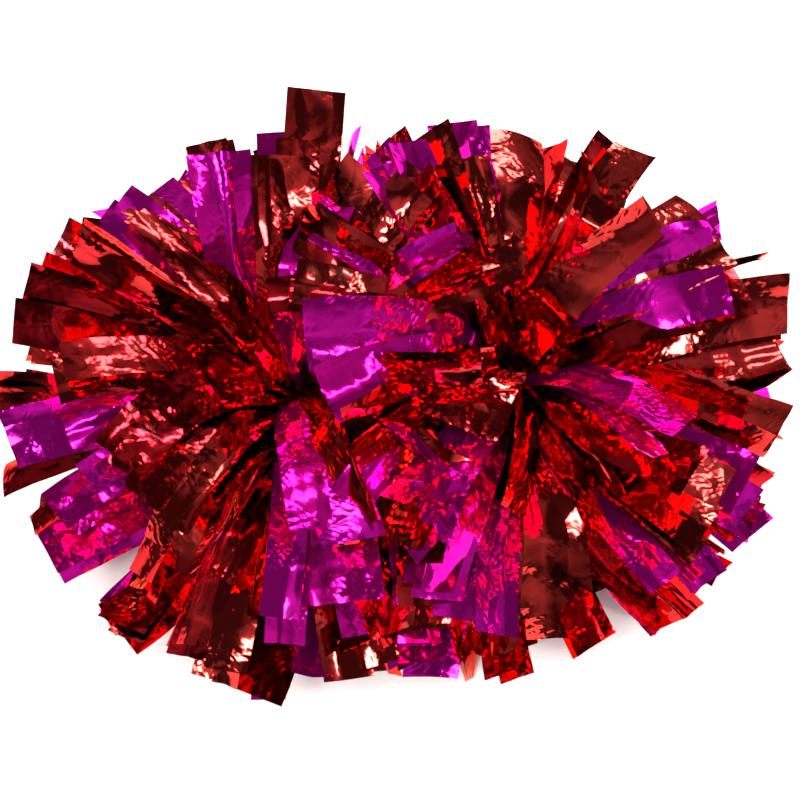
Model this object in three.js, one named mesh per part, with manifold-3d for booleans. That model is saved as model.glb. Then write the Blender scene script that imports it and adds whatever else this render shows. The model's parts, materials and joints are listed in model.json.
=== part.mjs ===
// Cheer pom pom with a baton handle, lying on a floor as it is put down between routines.
//
// A moulded baton lies level along X, with an upright eye at each end. Through each eye passes a bundle of
// fringe sheets: metallised film, cut into strands at both ends and left whole in the middle. A cable tie
// above the eye and another below it cinch the bundle, so that it can't slip out, and the strands fan out
// above and below into a tuft. The hand goes in between the two tufts and closes round the baton.
//
// The film is 0.05 mm thick. Each strand here is a plain closed blade that is as thick as a crumpled strand
// is deep. A sheet keeps to its own wedge round the eye's axis, so neighbouring sheets never touch.
//
// Millimetres, +Z up, origin on the floor under the middle of the baton.

import * as THREE from "three";
import { mergeVertices } from "three/addons/utils/BufferGeometryUtils.js";
import Module from "manifold-3d";

// Driving dimensions.
const AXIS_HEIGHT = 90; // the baton's axis above the floor
const EYE_SPACING = 96; // between the axes of the two eyes
const REACH_OUT = 138; // from an eye's axis to the strand ends that lie level with it
const REACH_UP = 116; // from the baton's axis to the highest strand ends
const TUFT_GAP = 12; // left free between the two tufts, on the middle plane
const TWIST = 12; // degrees that a tuft turns in its eye, each way, without reaching over the middle
const TOUCH_GAP = 0.3; // between pieces that touch on the real object

const SHEETS = 16; // in each tuft
const STRANDS = 5; // in each sheet, at each of its two ends
const STRAND_WIDTH = 20;
const STRAND_DEPTH = 2;
const SHEET_COLOURS = "RPRRPRPRRPRPRRPR"; // round a tuft, starting from the one that points outwards

const WAIST_RADIUS = 10.5; // of the bundle where it passes the eye and the ties
const WAIST_CORE = 3; // no film lies nearer the bundle's axis than this
const WAIST_HALF_HEIGHT = 14; // of the gathered part of a sheet
const STRAND_ROOT = { radius: 7, height: 12.5 }; // where a strand's middle line leaves the gathered part

const EYE_RING = { inner: 11, outer: 15.5, height: 8, edge: 1.2, segments: 24 };
const GRIP_END = 13.5; // from an eye's axis to the grip, which runs into the eye's ring
const GRIP = { width: 24, height: 18, corner: 8, length: EYE_SPACING - 2 * GRIP_END };
const COLLAR = { width: 29, height: 23, corner: 10, thickness: 4 };
const RIB = { count: 5, pitch: 9, thickness: 1.6, rise: 0.8, inset: 2, corner: 7 };

// A tie's strap is clear of the eye's ring by offEye. Its head is sunk into the strap, and its tail into the
// head, off the head's middle line.
const TIE = { strap: 1.3, width: 4.8, edge: 0.3, segments: 24, offEye: 1.2 };
const TIE_HEAD = { along: 7.5, out: 5.5, height: 5.8, sunk: 0.9 };
const TIE_TAIL = { length: 4, thickness: 1.2, width: 4, sunk: 0.5, off: 0.8 };

const WELD = 1e-4; // vertices of one body that lie closer than this are one

const wasm = await Module();
wasm.setup();

// A closed geometry as a solid that can be joined and cut.
function solid(geometry, matrix = new THREE.Matrix4()) {
  const bare = (geometry.index ? geometry.toNonIndexed() : geometry.clone()).applyMatrix4(matrix);
  bare.deleteAttribute("normal");
  bare.deleteAttribute("uv");
  const merged = mergeVertices(bare, WELD);
  return new wasm.Manifold(
    new wasm.Mesh({
      numProp: 3,
      vertProperties: merged.attributes.position.array,
      triVerts: new Uint32Array(merged.index.array),
    }),
  );
}

function geometryOf(manifold) {
  const mesh = manifold.getMesh();
  const geometry = new THREE.BufferGeometry();
  geometry.setAttribute("position", new THREE.BufferAttribute(new Float32Array(mesh.vertProperties), 3));
  geometry.setIndex(new THREE.BufferAttribute(new Uint32Array(mesh.triVerts), 1));
  geometry.computeVertexNormals();
  return geometry;
}

function joined(solids) {
  return solids.reduce((whole, piece) => whole.add(piece));
}

function moved(x, y, z) {
  return new THREE.Matrix4().makeTranslation(x, y, z);
}

// Materials, as the real pieces look.
const redFilm = new THREE.MeshStandardMaterial({ color: 0xc41c30, metalness: 1, roughness: 0.15 });
const pinkFilm = new THREE.MeshStandardMaterial({ color: 0xd60fa8, metalness: 1, roughness: 0.15 });
const batonPlastic = new THREE.MeshStandardMaterial({ color: 0xe9e7e2, metalness: 0, roughness: 0.45 });
const tieNylon = new THREE.MeshStandardMaterial({ color: 0x17171a, metalness: 0, roughness: 0.5 });

// One strand of a sheet: a flat blade in the sheet's own upright plane, which runs outwards along X.
// polar is the angle between the strand and the eye's axis. Its outline opens from the gathered root to the
// full strand width, inside the sheet's wedge, and its end lies on the tuft's rounded outside.
function strand(polar, halfWedge) {
  const { radius, height } = STRAND_ROOT;
  const sin = Math.sin(polar);
  const cos = Math.cos(polar);
  const a = (sin / REACH_OUT) ** 2 + (cos / REACH_UP) ** 2;
  const b = (radius * sin) / REACH_OUT ** 2 + (height * cos) / REACH_UP ** 2;
  const c = (radius / REACH_OUT) ** 2 + (height / REACH_UP) ** 2 - 1;
  const length = (Math.sqrt(b * b - a * c) - b) / a;

  const room = (r) => r * Math.tan(halfWedge) - TOUCH_GAP;
  const rootHalf = room(radius);
  const endHalf = Math.min(STRAND_WIDTH / 2, room(radius + length * sin));
  const outline = new THREE.Shape([
    new THREE.Vector2(0, -rootHalf),
    new THREE.Vector2(length, -endHalf),
    new THREE.Vector2(length, endHalf),
    new THREE.Vector2(0, rootHalf),
  ]);
  const blade = new THREE.ExtrudeGeometry(outline, { depth: STRAND_DEPTH, bevelEnabled: false });
  blade.translate(0, 0, -STRAND_DEPTH / 2);
  const along = new THREE.Vector3(sin, 0, cos);
  const across = new THREE.Vector3(0, 1, 0);
  const place = new THREE.Matrix4().makeBasis(along, across, along.clone().cross(across));
  place.setPosition(radius, 0, height);
  return solid(blade, place);
}

// The gathered middle of a sheet: a slice of the round bundle, as tall as the eye and both ties.
function waist(halfWedge) {
  const side = TOUCH_GAP / 2;
  const edge = Math.asin(side / WAIST_RADIUS);
  const core = WAIST_CORE * Math.tan(halfWedge) - side;
  const slice = new THREE.Shape();
  slice.moveTo(WAIST_CORE, -core);
  slice.absarc(0, 0, WAIST_RADIUS, edge - halfWedge, halfWedge - edge);
  slice.lineTo(WAIST_CORE, core);
  const block = new THREE.ExtrudeGeometry(slice, {
    depth: 2 * WAIST_HALF_HEIGHT,
    bevelEnabled: false,
    curveSegments: 2,
  });
  return solid(block, moved(0, 0, -WAIST_HALF_HEIGHT));
}

// The largest polar angle that a sheet's strands may have, so that they stay on their own side of the middle
// while the tuft twists. azimuth is 0 for the sheet that points away from the other tuft.
function flattest(azimuth) {
  const twist = THREE.MathUtils.degToRad(TWIST);
  const offInwards = Math.abs(Math.PI - azimuth);
  const inwards = Math.cos(Math.max(0, offInwards - twist));
  if (inwards < 0.01) return Math.PI / 2;
  const sideways = Math.sin(Math.min(Math.PI / 2, offInwards + twist));
  const free = (EYE_SPACING - TUFT_GAP - STRAND_WIDTH * sideways) / 2;
  return Math.asin(Math.min(1, free / inwards / REACH_OUT));
}

// One fringe sheet, in its tuft's frame: the eye's centre is the origin, and X points away from the middle.
// What would reach into the floor is cut off level with it.
function fringeSheet(azimuth) {
  const halfWedge = Math.PI / SHEETS;
  const widest = flattest(azimuth);
  const above = Array.from({ length: STRANDS }, (_, i) => strand((widest * (i + 1)) / STRANDS, halfWedge));
  const below = above.map((blade) => blade.mirror([0, 0, 1]));
  const fan = joined([waist(halfWedge), ...above, ...below]);
  const sheet = fan.rotate([0, 0, THREE.MathUtils.radToDeg(azimuth)]);
  const floor = new THREE.BoxGeometry(4 * REACH_OUT, 4 * REACH_OUT, REACH_UP);
  return sheet.subtract(solid(floor, moved(0, 0, -AXIS_HEIGHT - REACH_UP / 2)));
}

// A rounded rectangle, extruded along X and centred on its own middle.
function roundedBar({ width, height, corner }, length) {
  const x = width / 2 - corner;
  const y = height / 2 - corner;
  const outline = new THREE.Shape();
  outline.absarc(x, y, corner, 0, Math.PI / 2);
  outline.absarc(-x, y, corner, Math.PI / 2, Math.PI);
  outline.absarc(-x, -y, corner, Math.PI, 1.5 * Math.PI);
  outline.absarc(x, -y, corner, 1.5 * Math.PI, 2 * Math.PI);
  const bar = new THREE.ExtrudeGeometry(outline, { depth: length, bevelEnabled: false, curveSegments: 4 });
  bar.translate(0, 0, -length / 2);
  // The outline's width lies along Y and its height along Z.
  bar.applyMatrix4(
    new THREE.Matrix4().makeBasis(
      new THREE.Vector3(0, 1, 0),
      new THREE.Vector3(0, 0, 1),
      new THREE.Vector3(1, 0, 0),
    ),
  );
  return bar;
}

// A ring about Z with rounded edges, from its inner to its outer radius.
function ring(inner, outer, height, edge, segments) {
  const half = height / 2;
  const profile = [
    [inner, half - edge],
    [inner + edge, half],
    [outer - edge, half],
    [outer, half - edge],
    [outer, edge - half],
    [outer - edge, -half],
    [inner + edge, -half],
    [inner, edge - half],
    [inner, half - edge],
  ].map(([r, z]) => new THREE.Vector2(r, z));
  // LatheGeometry turns about Y, and its faces point outwards when the profile runs anticlockwise.
  return new THREE.LatheGeometry(profile.reverse(), segments).rotateX(Math.PI / 2);
}

// The one-piece baton: a grip with flats above and below, a collar at each end that keeps the hand off the
// film, the two upright eyes, and shallow ribs round the sides of the grip.
function baton() {
  const collarX = GRIP.length / 2 - COLLAR.thickness / 2;
  const pieces = [solid(roundedBar(GRIP, GRIP.length)), ...gripRibs()];
  for (const side of [-1, 1]) {
    pieces.push(solid(roundedBar(COLLAR, COLLAR.thickness), moved(side * collarX, 0, 0)));
    const eye = ring(EYE_RING.inner, EYE_RING.outer, EYE_RING.height, EYE_RING.edge, EYE_RING.segments);
    pieces.push(solid(eye, moved((side * EYE_SPACING) / 2, 0, 0)));
  }
  return joined(pieces);
}

// The ribs stand out from the sides of the grip and leave its flats clear.
function gripRibs() {
  const raised = { width: GRIP.width + 2 * RIB.rise, height: GRIP.height - RIB.inset, corner: RIB.corner };
  return Array.from({ length: RIB.count }, (_, i) => {
    const x = (i - (RIB.count - 1) / 2) * RIB.pitch;
    return solid(roundedBar(raised, RIB.thickness), moved(x, 0, 0));
  });
}

// A cable tie pulled tight: the strap round the bundle, its locking head, and the trimmed tail.
function cableTie() {
  const inner = WAIST_RADIUS + TOUCH_GAP;
  const outer = inner + TIE.strap;
  const strap = solid(ring(inner, outer, TIE.width, TIE.edge, TIE.segments));
  const head = new THREE.BoxGeometry(TIE_HEAD.out, TIE_HEAD.along, TIE_HEAD.height);
  const tail = new THREE.BoxGeometry(TIE_TAIL.thickness, TIE_TAIL.length, TIE_TAIL.width);
  const headX = outer - TIE_HEAD.sunk + TIE_HEAD.out / 2;
  const tailY = (TIE_HEAD.along + TIE_TAIL.length) / 2 - TIE_TAIL.sunk;
  return joined([
    strap,
    solid(head, moved(headX, 0, 0)),
    solid(tail, moved(headX + TIE_TAIL.off, tailY, 0)),
  ]);
}

function addMesh(group, name, shape, material) {
  const mesh = new THREE.Mesh(geometryOf(shape), material);
  mesh.name = name;
  group.add(mesh);
  return mesh;
}

// One tuft: its sheets and its two ties, with X pointing away from the middle.
function tuft(side) {
  const group = new THREE.Group();
  const counts = { red: 0, pink: 0 };
  for (let i = 0; i < SHEETS; i++) {
    const colour = SHEET_COLOURS[i] === "R" ? "red" : "pink";
    const number = String(++counts[colour]).padStart(2, "0");
    const sheet = fringeSheet((2 * Math.PI * i) / SHEETS);
    addMesh(group, `${side}_${colour}_fringe_${number}`, sheet, colour === "red" ? redFilm : pinkFilm);
  }
  const tieHeight = EYE_RING.height / 2 + TIE.offEye + TIE.width / 2;
  const upper = addMesh(group, `${side}_upper_cable_tie`, cableTie(), tieNylon);
  upper.position.z = tieHeight;
  upper.rotation.z = Math.PI / 2;
  const lower = addMesh(group, `${side}_lower_cable_tie`, cableTie(), tieNylon);
  lower.position.z = -tieHeight;
  lower.rotation.z = -Math.PI / 2;
  return group;
}

const pomPom = new THREE.Group();
pomPom.position.z = AXIS_HEIGHT;
addMesh(pomPom, "baton_handle", baton(), batonPlastic);
const right = tuft("right");
right.position.x = EYE_SPACING / 2;
const left = tuft("left");
left.position.x = -EYE_SPACING / 2;
left.rotation.z = Math.PI;
pomPom.add(right, left);

export default pomPom;
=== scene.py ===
"""A cheer pom pom: red and magenta metallised film, gathered in two tufts on a hidden baton.

Each fringe sheet is one mesh: strips that run from their upper ends down through the baton's eye to
their lower ends. A strip is grown from the bundle outwards. Its middle line leaves the bundle
upright, bends over and kinks, and its cross-section opens from tight pleats to the full width of
the cut.
"""

import json
import math

import bpy
import numpy as np
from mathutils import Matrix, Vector


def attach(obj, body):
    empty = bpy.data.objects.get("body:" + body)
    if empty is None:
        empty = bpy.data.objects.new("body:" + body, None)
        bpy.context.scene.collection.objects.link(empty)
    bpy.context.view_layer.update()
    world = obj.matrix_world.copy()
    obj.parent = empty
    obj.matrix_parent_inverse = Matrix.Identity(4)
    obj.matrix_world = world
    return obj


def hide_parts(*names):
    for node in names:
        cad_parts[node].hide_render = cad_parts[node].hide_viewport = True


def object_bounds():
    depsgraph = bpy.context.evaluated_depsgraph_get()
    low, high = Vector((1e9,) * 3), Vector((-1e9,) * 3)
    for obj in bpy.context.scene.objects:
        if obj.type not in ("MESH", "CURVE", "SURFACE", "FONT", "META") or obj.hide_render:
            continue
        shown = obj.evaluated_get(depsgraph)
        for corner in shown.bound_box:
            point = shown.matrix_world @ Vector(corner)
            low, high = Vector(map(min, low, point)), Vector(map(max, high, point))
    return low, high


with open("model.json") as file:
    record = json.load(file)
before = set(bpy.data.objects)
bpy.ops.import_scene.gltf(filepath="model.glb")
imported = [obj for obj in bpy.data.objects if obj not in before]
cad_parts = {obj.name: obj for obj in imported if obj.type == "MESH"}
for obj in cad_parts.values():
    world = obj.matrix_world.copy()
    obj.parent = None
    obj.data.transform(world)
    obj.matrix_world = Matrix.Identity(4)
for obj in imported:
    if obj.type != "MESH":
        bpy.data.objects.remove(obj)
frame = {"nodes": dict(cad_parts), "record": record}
CAD_LOW, CAD_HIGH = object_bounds()

MM = 0.001
SEED = 42
rng = np.random.default_rng(SEED)

# The film, as it is cut.
SHEET_WIDTH = 180 * MM
STRAND_LENGTH = 146 * MM  # of each cut end
LENGTH_SHARES = (0.96, 1.0)  # of that: the range of the cut ends before they crumple
BAND = 28 * MM  # the uncut middle of a sheet, which passes through the eye
STRIPS = 8  # in each sheet, side by side
WIDTH_SPREAD = 0.24  # of the strips' widths: the deviation of their logarithm
BUNCH = 2  # neighbouring strands that lie against each other

# One wide strand stands clear of the others at the back of the left tuft.
STRAY_NODE = "left_red_fringe_08"
STRAY_STRIP = 3
STRAY_WIDTH = 27 * MM

# The grid of one half of a strip.
ROWS = 64
COLUMNS = 10

# How the strands of the upper half (1) and the lower half (-1) leave the bundle, from those beside
# the eye's axis to those at the waist: the cosine of the angle they aim at, from the axis, and the
# degrees that they droop by.
AIM_COSINES = {1: (0.81, -0.26), -1: (0.90, -0.30)}
DROOPS = {1: (76, 18), -1: (18, -6)}
DROOP_SPREAD = 9  # degrees
DROOP_POWER = 1.4  # a strand droops ever more towards its end
AIMED_HIGHER = 0.4  # the share of its droop that a strand springs off above its aim
SPRING_SHARE = 0.09  # of a strand's length, in which it springs off the bundle
KINKS = 2  # in each strand
KINK_SHARE = 0.6  # of a kink's drawn angle, by which its strand turns

BUNDLE_RADIUS = 9.0 * MM  # of the gathered film inside the eye and the ties
BUNDLE_CORE = 2.0 * MM
OUTERMOST_ROOT = 0.9 * BUNDLE_RADIUS  # the strips' middle lines start within this radius
ROOT_SPREAD = 0.12  # radians round the eye's axis, of the strips of one sheet
PLEAT_SLOPE = 1.34  # radians, of the film in the gathered bundle
PLEAT_SHARPNESS = 4  # how abruptly the film turns from one side of a pleat to the next
CREASE_WIDTH = 0.12  # as a share of half a strip's width
FLOOR_GAP = 1.0 * MM
FLOOR_LAYER = 6 * FLOOR_GAP  # strands that come down into this layer level out
CEILING = CAD_HIGH.z + 4 * MM  # the ball's own weight keeps the film under this
CEILING_DEPTH = 60 * MM  # of the layer under the ceiling in which the film bends over
STEEPEST_FALL = -0.3  # of a strand that the ceiling turns down, as the z of its direction
MIDDLE_DEPTH = 36 * MM  # of the layer beside the middle plane in which the two tufts' film meets
PUSHED_BACK = -0.15  # how fast a strand past the middle plane is turned back to its own side
OVER_MIDDLE = 195 * MM  # above this height the film of one tuft lies over the other tuft
STEEP = 0.5  # the rise or fall, as the z of its direction, of a strand that counts as steep
GRIP_END = 40 * MM  # how far the baton's grip reaches from the middle
GRIP_CLEARANCE = 30 * MM  # strands keep their middle lines this far from the grip's axis

# What an obstacle adds to a strand's direction, a unit vector, so that it slides along.
SLIDE = 0.2
CEILING_SLIDE = 0.05
GRIP_SLIDE = 0.3  # the least that a strand beside the grip heads away from it

# The long waves of the crumpled film: wavelength and height. They begin outside the bundle.
LONG_WAVES = ((60 * MM, 0.9 * MM), (34 * MM, 0.45 * MM), (17 * MM, 0.16 * MM))
WAVE_DIRECTIONS = 2  # for each wavelength
WAVES_BEND_OVER = 31 * MM  # along the strip, in a radian of the sine that bends the ridges
WAVES_BEGIN, WAVES_GROW_OVER = 0.1, 0.3  # as shares of the length from the eye's middle

UV_NAME = "cut"  # metres along and across the film before it is crumpled
# The folds in the film's material: period and height in metres, and heading in radians.
FOLDS = ((0.011, 0.00033, 0.35), (0.0057, 0.00017, 1.25), (0.0032, 0.00008, 2.3))
WAVE_TEXTURE_RADIANS = 20  # to the metre, for a wave texture of scale 1

WARM_WHITE = (1.0, 0.93, 0.82)
WHITE = (1, 1, 1, 1)

JOINTS = {joint["name"]: joint for joint in frame["record"]["behaviour"]["joints"]}
BODIES = frame["record"]["behaviour"]["bodies"]
SLOTS = {part["node"]: part["material_slot"] for part in frame["record"]["subparts"]}


def lerp(a, b, t):
    return a + (b - a) * t


def smoothstep(x):
    x = np.clip(x, 0, 1)
    return x * x * (3 - 2 * x)


def triangle(x):
    """A triangle wave of period 1 between -1 and 1: flat facets that meet in sharp ridges."""
    return 4 * np.abs(x - np.floor(x + 0.5)) - 1


def turned(v, axis, angle):
    """The vector v turned about the unit vector axis."""
    c, s = math.cos(angle), math.sin(angle)
    return v * c + np.cross(axis, v) * s + axis * np.dot(axis, v) * (1 - c)


def unit(v):
    return v / np.linalg.norm(v)


# ---------------------------------------------------------------- one strip


def draw_course(azimuth, share, up):
    """How a strand runs. share is 0 for one beside the eye's axis and 1 for one at the waist.

    Round the waist, strands of the upper half hang over the eye's level, and those of the lower
    half rise past it between them. The course's angles are in radians, and the second number of
    a normal draw is its spread.
    """
    aim = math.acos(lerp(*AIM_COSINES[up], share))
    droop = math.radians(lerp(*DROOPS[up], share) + rng.normal(0, DROOP_SPREAD))
    sideways = math.sin(azimuth)
    return {
        "heading": azimuth + rng.normal(0, 0.2),
        "polar": aim - AIMED_HIGHER * droop,
        "droop": droop,
        "sway": rng.normal(0, 0.12, 2),
        "sway_turns": rng.uniform(0.3, 0.8),
        "roll": rng.normal(0, 0.4),
        "twist": rng.normal(0, 0.5),
        # Each kink: where it is, how far it bends and how much of that goes sideways.
        "kinks": sorted(
            (rng.uniform(0.3, 0.95), rng.normal(0, 0.26), rng.normal(0, 0.5)) for _ in range(KINKS)
        ),
        # Crumpling takes up some of the length, most of all at the back of the ball.
        "taken_up": 0.05 * abs(sideways) + 0.06 * max(0.0, sideways),
    }


def stray_course(azimuth):
    """The course of the strand that stands clear of the others, all but straight."""
    return {
        "heading": azimuth - 0.16,
        "polar": math.radians(50),
        "droop": math.radians(14),
        "sway": (0.04, 0.0),
        "sway_turns": 0.5,
        "roll": 0.1,
        "twist": 0.15,
        "kinks": [],
        "taken_up": 0.0,
    }


def beside(course):
    """The course of a strand that lies against one with the given course."""
    near = dict(course)
    near["heading"] += rng.normal(0, 0.12)
    near["polar"] += rng.normal(0, 0.08)
    near["droop"] += rng.normal(0, 0.06)
    near["roll"] += rng.normal(0, 0.2)
    near["twist"] += rng.normal(0, 0.2)
    return near


def past_obstacles(point, along, root, up, out):
    """The direction that a strand takes at a point, turned along whatever is in its way.

    along is where it heads, root is where it leaves the bundle, and out is level and away from the
    eye.
    """
    if point[2] < FLOOR_LAYER and along[2] < 0:
        along = unit(along * np.array([1.0, 1.0, 0.0]) + out * SLIDE)
    room = (CEILING - point[2]) / CEILING_DEPTH
    if room < 1 and along[2] > room:
        bent = np.array([along[0], along[1], max(room, STEEPEST_FALL)])
        along = unit(bent + out * CEILING_SLIDE)

    # A strand that heads for the other tuft meets its film, and turns along the middle plane: a
    # steep one up or down, a level one to the front or the back.
    own_side = math.copysign(1.0, root[0])
    low = smoothstep((OVER_MIDDLE - point[2]) / MIDDLE_DEPTH)
    limit = lerp(1.0, max(point[0] * own_side / MIDDLE_DEPTH, PUSHED_BACK), low)
    if -along[0] * own_side > limit:
        vertical = np.array([0.0, 0.0, float(up)])
        past = np.array([0.0, math.copysign(1.0, out[1]), 0.0])
        steep = min(1.0, max(0.0, along[2] * up / STEEP))
        held = np.array([-own_side * limit, along[1], along[2]])
        along = unit(held + lerp(past, vertical, steep) * SLIDE)

    # The grip between the tufts pushes strands aside.
    from_grip = np.array([0.0, point[1], point[2] - root[2]])
    if abs(point[0]) < GRIP_END and np.linalg.norm(from_grip) < GRIP_CLEARANCE:
        from_grip = unit(from_grip)
        along = unit(along + from_grip * max(0.0, GRIP_SLIDE - np.dot(along, from_grip)))
    return along


def middle_line(root, up, course, length):
    """The points along half a strip, and the directions across and out of the film at each.

    up is 1 for a half that leaves the eye upwards and -1 for one that leaves it downwards. A
    course's polar is the angle from the eye's axis that the strand springs off at, and its droop is
    what it bends further by its end.
    """
    step = length / (ROWS - 1)
    heading, sway, sway_turns = course["heading"], course["sway"], course["sway_turns"]
    out = np.array([math.cos(heading), math.sin(heading), 0.0])
    vertical = np.array([0.0, 0.0, float(up)])
    side = np.cross(out, vertical)
    kinks = list(course["kinks"])
    turn = 0.0
    lean = 0.0

    point = root.copy()
    points, acrosses, normals = [], [], []
    for row in range(ROWS):
        s = row / (ROWS - 1)
        past_band = max(0.0, (s * length - BAND / 2) / (length - BAND / 2))
        while kinks and past_band > kinks[0][0]:
            _, bend, slant = kinks.pop(0)
            turn += bend * math.cos(slant)
            lean += bend * math.sin(slant)
        spring = smoothstep(past_band / SPRING_SHARE)
        wave = math.sin(2 * math.pi * sway_turns * past_band)
        angle = course["polar"] * spring + course["droop"] * past_band**DROOP_POWER
        angle += sway[0] * wave + turn * KINK_SHARE
        swing = sway[1] * wave + lean * KINK_SHARE
        along = vertical * math.cos(angle) + out * math.sin(angle)
        along = unit(along + side * math.sin(swing))
        along = past_obstacles(point, along, root, up, out)
        normal = unit(np.cross(along, side))
        across = np.cross(normal, along)
        across = turned(across, along, (course["roll"] + course["twist"] * past_band) * spring)
        points.append(point.copy())
        acrosses.append(across)
        normals.append(np.cross(along, across))
        point = point + along * step
    return np.array(points), np.array(acrosses), np.array(normals)


def cross_sections(width, length):
    """Across and out-of-film offsets of each row.

    The film doesn't stretch, so a fold makes the strip narrower.
    """
    u = np.linspace(-1, 1, COLUMNS)
    s = np.linspace(0, 1, ROWS)[:, None]
    past_band = np.clip((s * length - BAND / 2) / (length - BAND / 2), 0, 1)

    # Near the tie the strip is pleated like an accordion, and what is left of the pleats runs on to
    # its end.
    pleats = rng.uniform(0.8, 1.6)
    left_over = abs(rng.normal(0, 0.09))
    opens_by = rng.uniform(0.16, 0.4)
    gathered = lerp(PLEAT_SLOPE, left_over, smoothstep(past_band / opens_by))
    slope = gathered * np.tanh(PLEAT_SHARPNESS * triangle(u * pleats + rng.uniform(0, 1)))

    crease_at = rng.normal(0, 0.35)
    crease = rng.normal(0, 0.22) * lerp(1, rng.uniform(0, 1), past_band)
    slope = slope + crease * np.tanh((u - crease_at) / CREASE_WIDTH)
    curl = rng.normal(0, 0.12)
    slope = slope + curl * smoothstep(past_band) * u

    half = width / 2
    du = u[1] - u[0]
    across = np.cumsum(np.cos(slope), axis=1) * du * half
    out = np.cumsum(np.sin(slope), axis=1) * du * half
    across = across - across.mean(axis=1, keepdims=True)
    out = out - out.mean(axis=1, keepdims=True)
    return across, out


def crumple(width, length):
    """Height of the crumpled film: ridges in every direction with flat facets between them."""
    x = np.linspace(0, width, COLUMNS)[None, :]
    y = np.linspace(0, length, ROWS)[:, None]
    height = np.zeros((ROWS, COLUMNS))
    for wavelength, amplitude in LONG_WAVES:
        for _ in range(WAVE_DIRECTIONS):
            heading = rng.uniform(0, math.pi)
            phase = rng.uniform(0, 1)
            bend = rng.normal(0, 0.25) * np.sin(y / WAVES_BEND_OVER + rng.uniform(0, 6))
            along = (x * math.cos(heading) + y * math.sin(heading)) / wavelength + phase + bend
            height += triangle(along) * amplitude * rng.uniform(0.3, 1.0)
    return height * smoothstep((y / length - WAVES_BEGIN) / WAVES_GROW_OVER)


def half_strip(root, up, course, width):
    """Grid points of half a strip and its length, from the middle of the eye to its cut end."""
    length = BAND / 2 + STRAND_LENGTH * (rng.uniform(*LENGTH_SHARES) - course["taken_up"])
    points, acrosses, normals = middle_line(root, up, course, length)
    across, out = cross_sections(width, length)
    out = out + crumple(width, length)
    grid = points[:, None, :] + acrosses[:, None, :] * across[:, :, None]
    grid = grid + normals[:, None, :] * out[:, :, None]
    grid[..., 2] = np.maximum(grid[..., 2], FLOOR_GAP)
    return grid, length


# ---------------------------------------------------------------- one sheet


def strip_widths(stray):
    widths = rng.lognormal(0, WIDTH_SPREAD, STRIPS)
    widths *= SHEET_WIDTH / widths.sum()
    if stray:
        widths *= (SHEET_WIDTH - STRAY_WIDTH) / (SHEET_WIDTH - widths[STRAY_STRIP])
        widths[STRAY_STRIP] = STRAY_WIDTH
    return widths


def film_object(name, verts, faces, uvs):
    """A smooth-shaded mesh object from points, quads and a place on the film for each point."""
    mesh = bpy.data.meshes.new(name)
    mesh.vertices.add(len(verts))
    mesh.vertices.foreach_set("co", verts.astype(np.float32).ravel())
    mesh.loops.add(faces.size)
    mesh.loops.foreach_set("vertex_index", faces.astype(np.int32).ravel())
    mesh.polygons.add(len(faces))
    mesh.polygons.foreach_set("loop_start", np.arange(0, faces.size, 4, dtype=np.int32))
    mesh.update(calc_edges=True)
    layer = mesh.uv_layers.new(name=UV_NAME)
    layer.data.foreach_set("uv", uvs[faces.ravel()].astype(np.float32).ravel())
    mesh.polygons.foreach_set("use_smooth", np.ones(len(faces), dtype=bool))
    mesh.validate()
    obj = bpy.data.objects.new(name, mesh)
    bpy.context.collection.objects.link(obj)
    return obj


def sheet_mesh(name, eye, azimuth, stray):
    """One sheet's object. stray is true for the sheet that holds the stray strand."""
    verts, faces, uvs = [], [], []
    courses = {}
    for strip, width in enumerate(strip_widths(stray)):
        radius = lerp(BUNDLE_CORE, OUTERMOST_ROOT, (strip + 0.5) / STRIPS)
        root_azimuth = azimuth + rng.normal(0, ROOT_SPREAD)
        root = eye + radius * np.array([math.cos(root_azimuth), math.sin(root_azimuth), 0.0])
        for up in (1, -1):
            if strip % BUNCH == 0:
                # Equal shares of the half sphere, so that the ball is as full at its rim as on top.
                share = (strip + BUNCH * rng.uniform(0.1, 0.9)) / STRIPS
                courses[up] = draw_course(azimuth, share, up)
            else:
                courses[up] = beside(courses[up])
            course = courses[up]
            if stray and strip == STRAY_STRIP and up > 0:
                course = stray_course(azimuth)
            grid, length = half_strip(root, up, course, width)
            base = len(verts) * ROWS * COLUMNS
            index = base + np.arange(ROWS * COLUMNS).reshape(ROWS, COLUMNS)
            corners = (index[:-1, :-1], index[:-1, 1:], index[1:, 1:], index[1:, :-1])
            verts.append(grid.reshape(-1, 3))
            faces.append(np.stack(corners, axis=-1).reshape(-1, 4))
            # Each half strip lies somewhere else in the material's noise.
            place = rng.uniform(0, 50, 2)
            u, v = np.meshgrid(
                np.linspace(0, width, COLUMNS) + place[0], np.linspace(0, length, ROWS) + place[1]
            )
            uvs.append(np.stack([u, v], axis=-1).reshape(-1, 2))
    return film_object(name, np.concatenate(verts), np.concatenate(faces), np.concatenate(uvs))


# ---------------------------------------------------------------- materials


class Nodes:
    """A material's node tree, with short calls to add and link nodes."""

    def __init__(self, name):
        self.material = bpy.data.materials.new(name)
        self.material.use_nodes = True
        self.tree = self.material.node_tree
        self.shader = self.tree.nodes["Principled BSDF"]

    def add(self, kind, **settings):
        node = self.tree.nodes.new(kind)
        for key, value in settings.items():
            setattr(node, key, value)
        return node

    def link(self, out, into):
        self.tree.links.new(out, into)

    def set(self, node, **inputs):
        for key, value in inputs.items():
            node.inputs[key.replace("_", " ")].default_value = value


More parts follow.
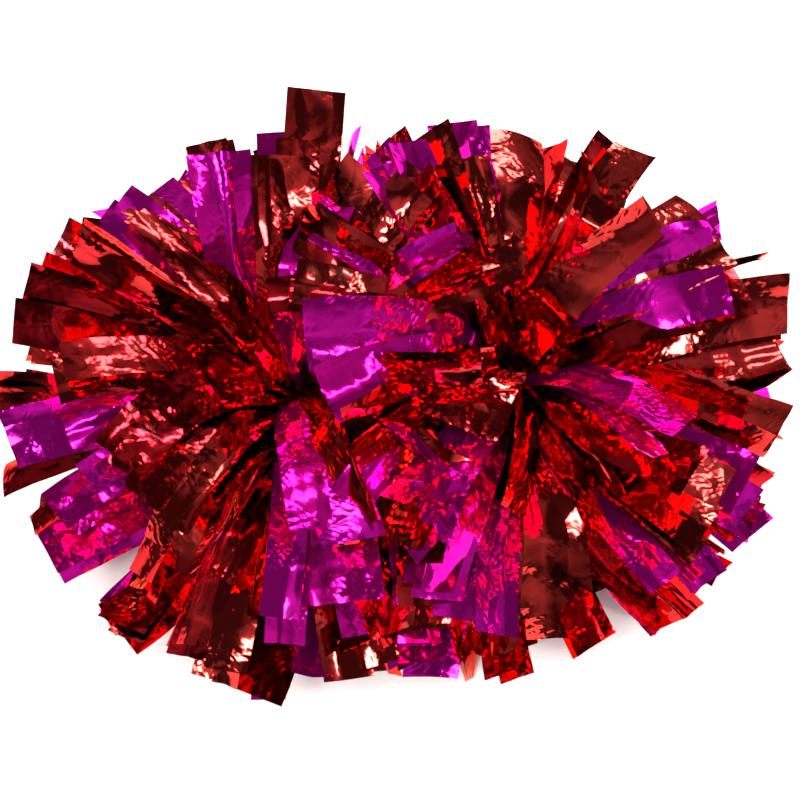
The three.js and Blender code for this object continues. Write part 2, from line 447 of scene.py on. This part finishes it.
def facet_tilts(n, coords, scale, stretch, reach):
    """A random tilt for each facet of a crumpled film, as a vector to add to the surface normal.

    scale is the number of facets in a metre across the film, stretch their number along it for
    each one across it, and reach the range of the tilts in each direction.
    """
    # Noise that is coarser than the facets bends their edges.
    bend = n.add("ShaderNodeTexNoise")
    n.set(bend, Scale=scale * 0.6, Detail=2.0)
    n.link(coords, bend.inputs["Vector"])
    shift = n.add("ShaderNodeVectorMath", operation="MULTIPLY_ADD")
    n.link(bend.outputs["Color"], shift.inputs[0])
    shift.inputs[1].default_value = (0.7 / scale,) * 3
    n.link(coords, shift.inputs[2])
    squeeze = n.add("ShaderNodeVectorMath", operation="MULTIPLY")
    squeeze.inputs[1].default_value = (1, stretch, 1)
    n.link(shift.outputs["Vector"], squeeze.inputs[0])
    cells = n.add("ShaderNodeTexVoronoi", feature="F1")
    n.set(cells, Scale=scale, Randomness=1.0)
    n.link(squeeze.outputs["Vector"], cells.inputs["Vector"])
    centred = n.add("ShaderNodeVectorMath", operation="SUBTRACT")
    centred.inputs[1].default_value = (0.5, 0.5, 0.5)
    n.link(cells.outputs["Color"], centred.inputs[0])
    tilt = n.add("ShaderNodeVectorMath", operation="SCALE")
    n.set(tilt, Scale=reach)
    n.link(centred.outputs["Vector"], tilt.inputs[0])
    return tilt


def folds(n, coords):
    """The height of straight folds in three directions, which leave flat facets between creases."""
    height = None
    for period, rise, heading in FOLDS:
        turn = n.add("ShaderNodeMapping")
        turn.inputs["Rotation"].default_value = (0, 0, heading)
        n.link(coords, turn.inputs["Vector"])
        wave = n.add("ShaderNodeTexWave", wave_profile="TRI")
        scale = 2 * math.pi / WAVE_TEXTURE_RADIANS / period
        n.set(wave, Scale=scale, Distortion=9.0, Detail=2.0, Detail_Scale=0.9)
        n.link(turn.outputs["Vector"], wave.inputs["Vector"])
        total = n.add("ShaderNodeMath", operation="MULTIPLY_ADD")
        n.link(wave.outputs["Fac"], total.inputs[0])
        total.inputs[1].default_value = rise
        if height is None:
            total.inputs[2].default_value = 0
        else:
            n.link(height, total.inputs[2])
        height = total.outputs["Value"]
    return height


def film_normal(n, coords, patches):
    """The normal of film that is crumpled in patches and smooth between them."""
    crumpled = n.add("ShaderNodeMapRange", interpolation_type="SMOOTHSTEP")
    n.set(crumpled, From_Min=0.45, From_Max=0.66, To_Min=0.1)
    n.link(patches.outputs["Fac"], crumpled.inputs["Value"])
    depth = n.add("ShaderNodeMath", operation="MULTIPLY")
    n.link(folds(n, coords), depth.inputs[0])
    n.link(crumpled.outputs["Result"], depth.inputs[1])
    bump = n.add("ShaderNodeBump")
    n.set(bump, Strength=1.0, Distance=1.0)
    n.link(depth.outputs["Value"], bump.inputs["Height"])

    tilts = facet_tilts(n, coords, scale=60.0, stretch=0.5, reach=0.12)
    tilted = n.add("ShaderNodeVectorMath", operation="ADD")
    n.link(bump.outputs["Normal"], tilted.inputs[0])
    n.link(tilts.outputs["Vector"], tilted.inputs[1])
    normal = n.add("ShaderNodeVectorMath", operation="NORMALIZE")
    n.link(tilted.outputs["Vector"], normal.inputs[0])
    return normal.outputs["Vector"]


def film_material(name, colour, deep, glancing, metal):
    """Metallised film: a tinted mirror under a thin clear lacquer.

    Some strands have the plain colour and some the deep one. Seen at a low angle, the film has the
    glancing colour.
    """
    n = Nodes(name)
    coords = n.add("ShaderNodeUVMap", uv_map=UV_NAME).outputs["UV"]
    patches = n.add("ShaderNodeTexNoise")
    n.set(patches, Scale=42.0, Detail=2.0, Roughness=0.6)
    n.link(coords, patches.inputs["Vector"])
    n.link(film_normal(n, coords, patches), n.shader.inputs["Normal"])

    strands = n.add("ShaderNodeTexNoise")
    n.set(strands, Scale=4.0, Detail=0.0)
    n.link(coords, strands.inputs["Vector"])
    share = n.add("ShaderNodeMapRange")
    n.set(share, From_Min=0.35, From_Max=0.62)
    n.link(strands.outputs["Fac"], share.inputs["Value"])
    tint = n.add("ShaderNodeMix", data_type="RGBA")
    tint.inputs["A"].default_value = (*deep, 1)
    tint.inputs["B"].default_value = (*colour, 1)
    n.link(share.outputs["Result"], tint.inputs["Factor"])
    n.link(tint.outputs["Result"], n.shader.inputs["Base Color"])

    gloss = n.add("ShaderNodeMapRange")
    n.set(gloss, To_Min=0.045, To_Max=0.12)
    n.link(patches.outputs["Fac"], gloss.inputs["Value"])
    n.link(gloss.outputs["Result"], n.shader.inputs["Roughness"])
    n.set(n.shader, Metallic=metal, Coat_Weight=0.03, Coat_Roughness=0.06)
    n.shader.inputs["Specular Tint"].default_value = (*glancing, 1)
    return n.material


def plastic_material(name, colour, roughness, speckle):
    """Moulded plastic with a fine grain, darker in places by the share speckle."""
    n = Nodes(name)
    coords = n.add("ShaderNodeTexCoord")
    grain = n.add("ShaderNodeTexNoise")
    n.set(grain, Scale=900.0, Detail=2.0)
    n.link(coords.outputs["Object"], grain.inputs["Vector"])
    bump = n.add("ShaderNodeBump")
    n.set(bump, Strength=0.12, Distance=0.0003)
    n.link(grain.outputs["Fac"], bump.inputs["Height"])
    n.link(bump.outputs["Normal"], n.shader.inputs["Normal"])
    shade = n.add("ShaderNodeTexNoise")
    n.set(shade, Scale=40.0, Detail=3.0)
    n.link(coords.outputs["Object"], shade.inputs["Vector"])
    tint = n.add("ShaderNodeMix", data_type="RGBA")
    tint.inputs["A"].default_value = (*[c * (1 - speckle) for c in colour], 1)
    tint.inputs["B"].default_value = (*colour, 1)
    n.link(shade.outputs["Fac"], tint.inputs["Factor"])
    n.link(tint.outputs["Result"], n.shader.inputs["Base Color"])
    n.set(n.shader, Roughness=roughness)
    return n.material


MATERIALS = {
    "film_red": film_material(
        "film_red",
        colour=(0.82, 0.054, 0.046),
        deep=(0.62, 0.012, 0.022),
        glancing=(1.0, 0.50, 0.42),
        metal=1.0,
    ),
    "film_pink": film_material(
        "film_pink",
        colour=(0.97, 0.008, 0.57),
        deep=(0.93, 0.004, 0.40),
        glancing=(1.0, 0.45, 0.9),
        metal=0.95,
    ),
    "baton_plastic": plastic_material(
        "baton_plastic", (0.80, 0.79, 0.75), roughness=0.42, speckle=0.08
    ),
    "tie_nylon": plastic_material(
        "tie_nylon", (0.020, 0.020, 0.022), roughness=0.48, speckle=0.3
    ),
}


# ---------------------------------------------------------------- the object


def build_tuft(side):
    joint = JOINTS[f"{side}_tuft_twist"]
    eye = np.array(joint["pos_m"])
    body = joint["child"]
    sheets = [node for node in BODIES[body] if "fringe" in node]
    outwards = 0.0 if eye[0] > 0 else math.pi
    # The record lists a tuft's sheets in their order round the eye.
    for i, node in enumerate(sheets):
        azimuth = outwards + 2 * math.pi * i / len(sheets)
        sheet = sheet_mesh(f"{node}_film", eye, azimuth, node == STRAY_NODE)
        sheet.data.materials.append(MATERIALS[SLOTS[node]])
        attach(sheet, body)
        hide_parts(node)


def finish_cad_node(node):
    obj = frame["nodes"][node]
    obj.data.materials.clear()
    obj.data.materials.append(MATERIALS[SLOTS[node]])


for side in ("right", "left"):
    build_tuft(side)
for node in SLOTS:
    if "fringe" not in node:
        finish_cad_node(node)


# ---------------------------------------------------------------- floor, light and camera


def add_floor():
    """A plain pale floor out to the horizon, a little under the film so that they don't flicker."""
    bpy.ops.mesh.primitive_plane_add(size=60, location=(0, 0, -0.5 * MM))
    floor = bpy.context.object
    floor.name = "floor"
    n = Nodes("floor_paint")
    n.set(n.shader, Base_Color=(0.86, 0.86, 0.86, 1), Roughness=0.7)
    floor.data.materials.append(n.material)


def add_light(name, kind, place, energy):
    """A light that shines from a place at the object."""
    light = bpy.data.lights.new(name, kind)
    light.energy = energy
    obj = bpy.data.objects.new(name, light)
    obj.location = place
    obj.rotation_euler = (CENTRE - Vector(place)).to_track_quat("-Z", "Y").to_euler()
    bpy.context.collection.objects.link(obj)
    return obj


def add_overhead(place, energy, spread):
    """Wide even light for the floor, out to the horizon. It doesn't show in the film.

    energy is in watts to the square metre, and spread in degrees.
    """
    obj = add_light("overhead", "SUN", place, energy)
    obj.data.angle = math.radians(spread)
    obj.visible_glossy = False


def add_softbox(name, place, size, power):
    """A warm rectangular light that the film mirrors. power is in watts."""
    obj = add_light(name, "AREA", place, power)
    obj.data.shape = "RECTANGLE"
    obj.data.size, obj.data.size_y = size
    obj.data.color = WARM_WHITE


def add_map_range(nodes, value, low, high, from_low=0.0, from_high=1.0):
    """The value, mapped from one range to another."""
    node = nodes.new("ShaderNodeMapRange")
    node.inputs["From Min"].default_value = from_low
    node.inputs["From Max"].default_value = from_high
    node.inputs["To Min"].default_value = low
    node.inputs["To Max"].default_value = high
    node.id_data.links.new(value, node.inputs["Value"])
    return node.outputs["Result"]


def add_world(zenith, horizon, backdrop):
    """A dim uneven room that the film mirrors, and a plain pale backdrop that the camera sees.

    zenith and horizon are the room's strengths overhead and all round.
    """
    world = bpy.data.worlds.new("studio")
    world.use_nodes = True
    tree = world.node_tree
    nodes, links = tree.nodes, tree.links
    coords = nodes.new("ShaderNodeTexCoord")
    height = nodes.new("ShaderNodeSeparateXYZ")
    links.new(coords.outputs["Generated"], height.inputs["Vector"])
    patches = nodes.new("ShaderNodeTexNoise")
    patches.inputs["Scale"].default_value = 1.5
    patches.inputs["Detail"].default_value = 1.5
    links.new(coords.outputs["Generated"], patches.inputs["Vector"])
    strength = nodes.new("ShaderNodeMath")
    strength.operation = "MULTIPLY"
    links.new(add_map_range(nodes, height.outputs["Z"], horizon, zenith), strength.inputs[0])
    unevenness = add_map_range(
        nodes, patches.outputs["Fac"], low=0.12, high=1.9, from_low=0.38, from_high=0.66
    )
    links.new(unevenness, strength.inputs[1])
    room = nodes["Background"]
    room.inputs["Color"].default_value = WHITE
    links.new(strength.outputs["Value"], room.inputs["Strength"])
    behind = nodes.new("ShaderNodeBackground")
    behind.inputs["Color"].default_value = WHITE
    behind.inputs["Strength"].default_value = backdrop
    seen = nodes.new("ShaderNodeLightPath")
    mix = nodes.new("ShaderNodeMixShader")
    links.new(seen.outputs["Is Camera Ray"], mix.inputs[0])
    links.new(room.outputs["Background"], mix.inputs[1])
    links.new(behind.outputs["Background"], mix.inputs[2])
    links.new(mix.outputs["Shader"], nodes["World Output"].inputs["Surface"])
    bpy.context.scene.world = world


def add_camera(azimuth, elevation, distance, lens, target):
    """A camera that looks at the target. Its azimuth is from the front, and its angles degrees."""
    a, e = math.radians(azimuth), math.radians(elevation)
    back = Vector((math.sin(a) * math.cos(e), -math.cos(a) * math.cos(e), math.sin(e)))
    camera = bpy.data.cameras.new("camera")
    camera.lens = lens
    obj = bpy.data.objects.new("camera", camera)
    obj.location = Vector(target) + back * distance
    obj.rotation_euler = (-back).to_track_quat("-Z", "Y").to_euler()
    bpy.context.collection.objects.link(obj)
    bpy.context.scene.camera = obj


CENTRE = (CAD_LOW + CAD_HIGH) / 2
CAMERA_TARGET = CENTRE + Vector((0, 0, -10 * MM))
# Blender's default view transform turns the film's saturated colours pale.
bpy.context.scene.view_settings.view_transform = "Standard"
add_floor()
add_world(zenith=0.38, horizon=0.05, backdrop=1.0)
add_overhead(place=(0.0, -0.9, 6.0), energy=3.6, spread=52)
add_softbox("key", place=(-0.8, -0.6, 1.7), size=(0.5, 0.35), power=19)
add_softbox("strip", place=(0.9, -0.2, 1.5), size=(0.12, 1.1), power=12)
add_softbox("back", place=(0.2, 1.3, 1.0), size=(1.0, 0.18), power=9)
add_camera(azimuth=-4, elevation=70, distance=0.8, lens=74, target=CAMERA_TARGET)
